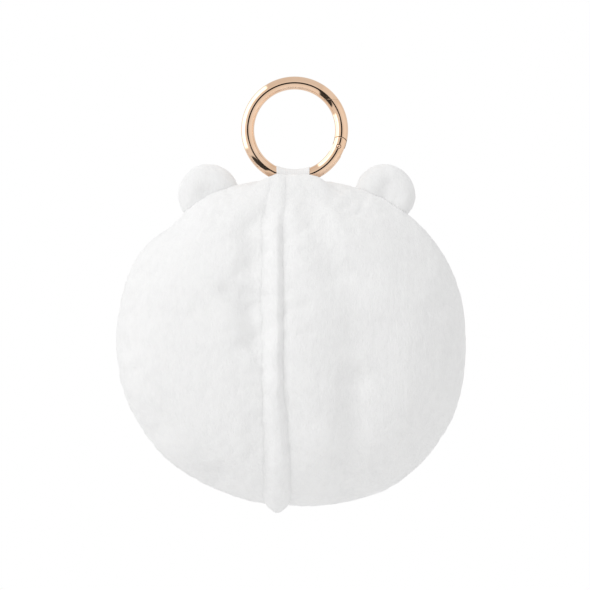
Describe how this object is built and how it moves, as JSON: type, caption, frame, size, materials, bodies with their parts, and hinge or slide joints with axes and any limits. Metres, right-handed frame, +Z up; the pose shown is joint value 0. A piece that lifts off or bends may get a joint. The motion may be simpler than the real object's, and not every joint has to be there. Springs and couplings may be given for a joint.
{
  "type": "plush keychain",
  "caption": "Round stuffed plush animal head with two small ears and a sewn ridge down its back, hung by a cloth tab from a spring-gate ring.",
  "frame": {"origin": "centre of the ring's eye, where a bag loop or a key ring passes", "axes": "+Z up towards the top of the ring, -Y the back with the sewn ridge, +Y the face, +X to the right seen from the back"},
  "size_m": [0.1076, 0.0532, 0.136],
  "materials": {
    "plush": "short-pile white plush",
    "tab_cloth": "smooth white woven strip",
    "filling": "polyester fibre filling",
    "thread": "white sewing thread",
    "cord": "cotton piping cord",
    "ring_metal": "polished pale rose-gold plating",
    "spring_steel": "drawn spring wire",
    "black_plastic": "glossy black",
    "washer_plastic": "natural moulded plastic",
    "embroidery": "brown satin-stitch thread"
  },
  "bodies": {
    "plush": {"front_panel": "plush", "back_panel_left": "plush", "back_panel_right": "plush", "body_filling": "filling", "edge_seam_thread": "thread", "ridge_cover": "plush", "ridge_cord": "cord", "tab_root": "tab_cloth", "ear_front_left": "plush", "ear_back_left": "plush", "ear_filling_left": "filling", "eye_left": "black_plastic", "eye_washer_left": "washer_plastic", "ear_front_right": "plush", "ear_back_right": "plush", "ear_filling_right": "filling", "eye_right": "black_plastic", "eye_washer_right": "washer_plastic", "nose": "embroidery", "mouth_stitch": "embroidery"},
    "tab": {"hanging_tab": "tab_cloth"},
    "ring": {"ring_body": "ring_metal", "gate_pin": "ring_metal", "gate_spring": "spring_steel"},
    "gate": {"ring_gate": "ring_metal"}
  },
  "joints": [
    {"name": "tab_swing", "type": "hinge", "parent": "plush", "child": "tab", "pos_m": [-0.0005, 0, -0.0145], "axis": [1, 0, 0], "range_deg": [-60, 60]},
    {"name": "ring_turn", "type": "hinge", "parent": "tab", "child": "ring", "pos_m": [0, 0, 0], "axis": [0, 1, 0], "range_deg": [-165, 40]},
    {"name": "gate_open", "type": "hinge", "parent": "ring", "child": "gate", "pos_m": [0.01356, 0, -0.00513], "axis": [0, -1, 0], "range_deg": [0, 40], "stiffness_Nm_per_rad": 0.02, "springref_deg": -17.19, "deforming": ["gate_spring"]}
  ]
}
